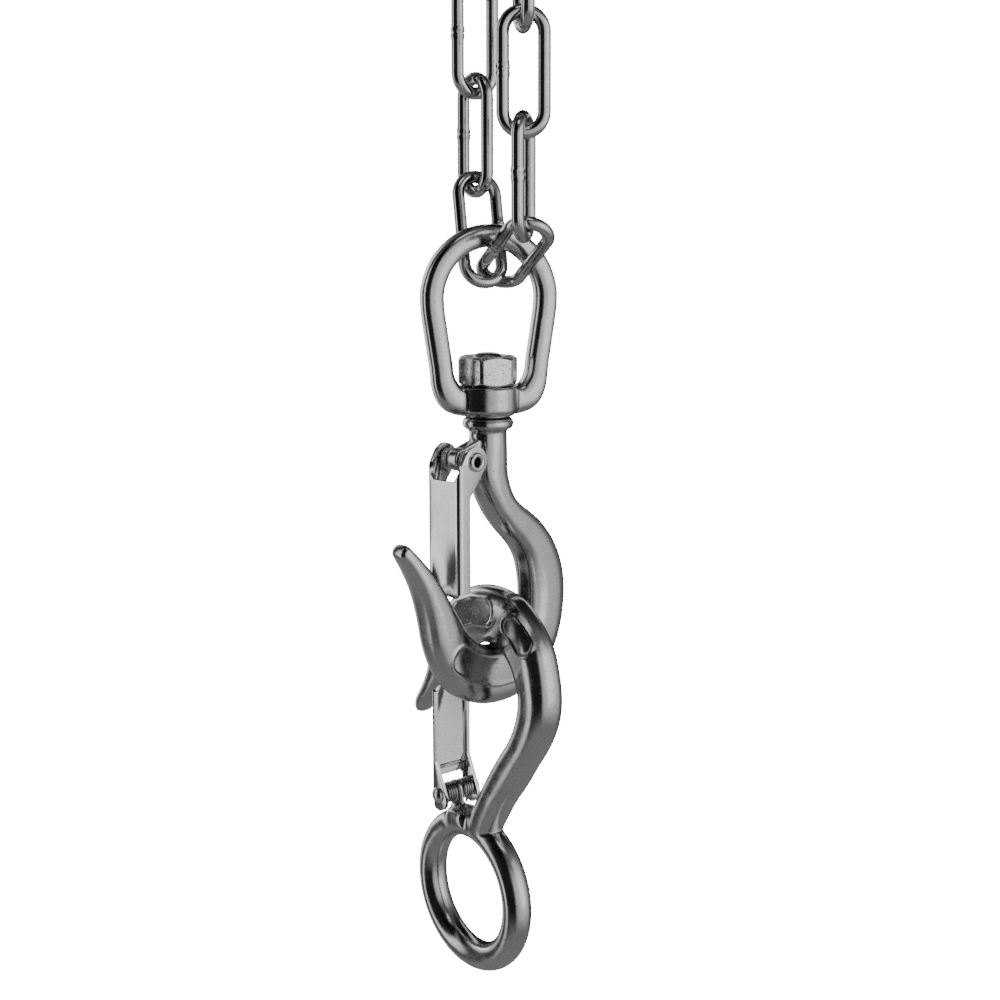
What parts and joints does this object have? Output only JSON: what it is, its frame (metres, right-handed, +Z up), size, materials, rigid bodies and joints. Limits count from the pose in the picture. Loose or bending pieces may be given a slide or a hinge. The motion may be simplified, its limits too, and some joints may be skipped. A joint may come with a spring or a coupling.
{
  "type": "hanging meat hook",
  "caption": "Endless long-link chain on a hanging ring, carrying a swivel hook in a forged bow and an eye hook, both with sprung safety latches.",
  "frame": {"origin": "hanging point, at the inner top of the top ring", "axes": "+Z up along the hang line; the bow faces about 22 degrees left of -Y and the swivel hook opens 45 degrees off X"},
  "size_m": [0.0574, 0.0638, 0.3891],
  "materials": {
    "polished_steel": "polished stainless steel, forged pieces",
    "chain_steel": "polished stainless steel chain",
    "sheet_steel": "satin stainless sheet",
    "spring_steel": "bright spring wire"
  },
  "bodies": {
    "ring": {"top_ring": "polished_steel"},
    "top_link": {"chain_top_link": "chain_steel"},
    "back_link_1": {"chain_back_link_1": "chain_steel"},
    "back_link_2": {"chain_back_link_2": "chain_steel"},
    "back_link_3": {"chain_back_link_3": "chain_steel"},
    "back_link_4": {"chain_back_link_4": "chain_steel"},
    "front_link_1": {"chain_front_link_1": "chain_steel"},
    "front_link_2": {"chain_front_link_2": "chain_steel"},
    "front_link_3": {"chain_front_link_3": "chain_steel"},
    "front_link_4": {"chain_front_link_4": "chain_steel"},
    "bow": {"swivel_bow": "polished_steel"},
    "hook": {"swivel_hook": "polished_steel", "hook_nut": "polished_steel", "upper_latch_rivet": "polished_steel", "upper_latch_spring": "spring_steel"},
    "hook_latch": {"upper_latch": "sheet_steel"},
    "lower_hook": {"eye_hook": "polished_steel", "lower_latch_rivet": "polished_steel", "lower_latch_spring": "spring_steel"},
    "lower_hook_latch": {"lower_latch": "sheet_steel"}
  },
  "joints": [
    {"name": "chain_swing", "type": "hinge", "parent": "ring", "child": "top_link", "pos_m": [0, 0, -0.05], "axis": [0.891, 0.454, 0], "range_deg": [-20, 20]},
    {"name": "back_link_1_twist", "type": "hinge", "parent": "top_link", "child": "back_link_1", "pos_m": [-0.00605, 0.01222, -0.05034], "axis": [0.0006, -0.021, 0.9998], "range_deg": [-5, 5]},
    {"name": "back_link_2_twist", "type": "hinge", "parent": "top_link", "child": "back_link_2", "pos_m": [-0.00607, 0.01283, -0.07984], "axis": [0.0006, -0.021, 0.9998], "range_deg": [-5, 5]},
    {"name": "back_link_3_twist", "type": "hinge", "parent": "top_link", "child": "back_link_3", "pos_m": [-0.00609, 0.01345, -0.10933], "axis": [0.0006, -0.021, 0.9998], "range_deg": [-5, 5]},
    {"name": "back_link_4_twist", "type": "hinge", "parent": "top_link", "child": "back_link_4", "pos_m": [-0.00462, 0.00802, -0.13774], "axis": [-0.0873, 0.3407, 0.9361], "range_deg": [-2, 2]},
    {"name": "front_link_1_twist", "type": "hinge", "parent": "top_link", "child": "front_link_1", "pos_m": [0.00821, -0.01645, -0.06363], "axis": [-0.0025, 0.0247, 0.9997], "range_deg": [-5, 5]},
    {"name": "front_link_2_twist", "type": "hinge", "parent": "top_link", "child": "front_link_2", "pos_m": [0.00828, -0.01717, -0.09312], "axis": [-0.0025, 0.0247, 0.9997], "range_deg": [-5, 5]},
    {"name": "front_link_3_twist", "type": "hinge", "parent": "top_link", "child": "front_link_3", "pos_m": [0.00836, -0.0179, -0.12261], "axis": [-0.0025, 0.0247, 0.9997], "range_deg": [-5, 5]},
    {"name": "front_link_4_twist", "type": "hinge", "parent": "top_link", "child": "front_link_4", "pos_m": [0.00589, -0.00508, -0.14466], "axis": [0.3583, -0.787, 0.5022], "range_deg": [-2, 2]},
    {"name": "bow_tilt", "type": "hinge", "parent": "top_link", "child": "bow", "pos_m": [-0.0022, 0.0002, -0.13958], "axis": [0.9272, 0.3746, 0], "range_deg": [-10, 10]},
    {"name": "hook_swivel", "type": "hinge", "parent": "bow", "child": "hook", "pos_m": [-0.0022, 0.0002, -0.1985], "axis": [0, 0, 1], "continuous": true},
    {"name": "hook_latch_open", "type": "hinge", "parent": "hook", "child": "hook_latch", "pos_m": [-0.01083, -0.00843, -0.2068], "axis": [0.7071, -0.7071, 0], "range_deg": [0, 35], "deforming": ["upper_latch_spring"]},
    {"name": "eye_hook_swing", "type": "hinge", "parent": "hook", "child": "lower_hook", "pos_m": [-0.00008, 0.00232, -0.2832], "axis": [0.7771, 0.6293, 0], "range_deg": [-15, 15]},
    {"name": "eye_hook_latch_open", "type": "hinge", "parent": "lower_hook", "child": "lower_hook_latch", "pos_m": [-0.01329, 0.01864, -0.3235], "axis": [0.7771, 0.6293, 0], "range_deg": [0, 35], "deforming": ["lower_latch_spring"]}
  ]
}
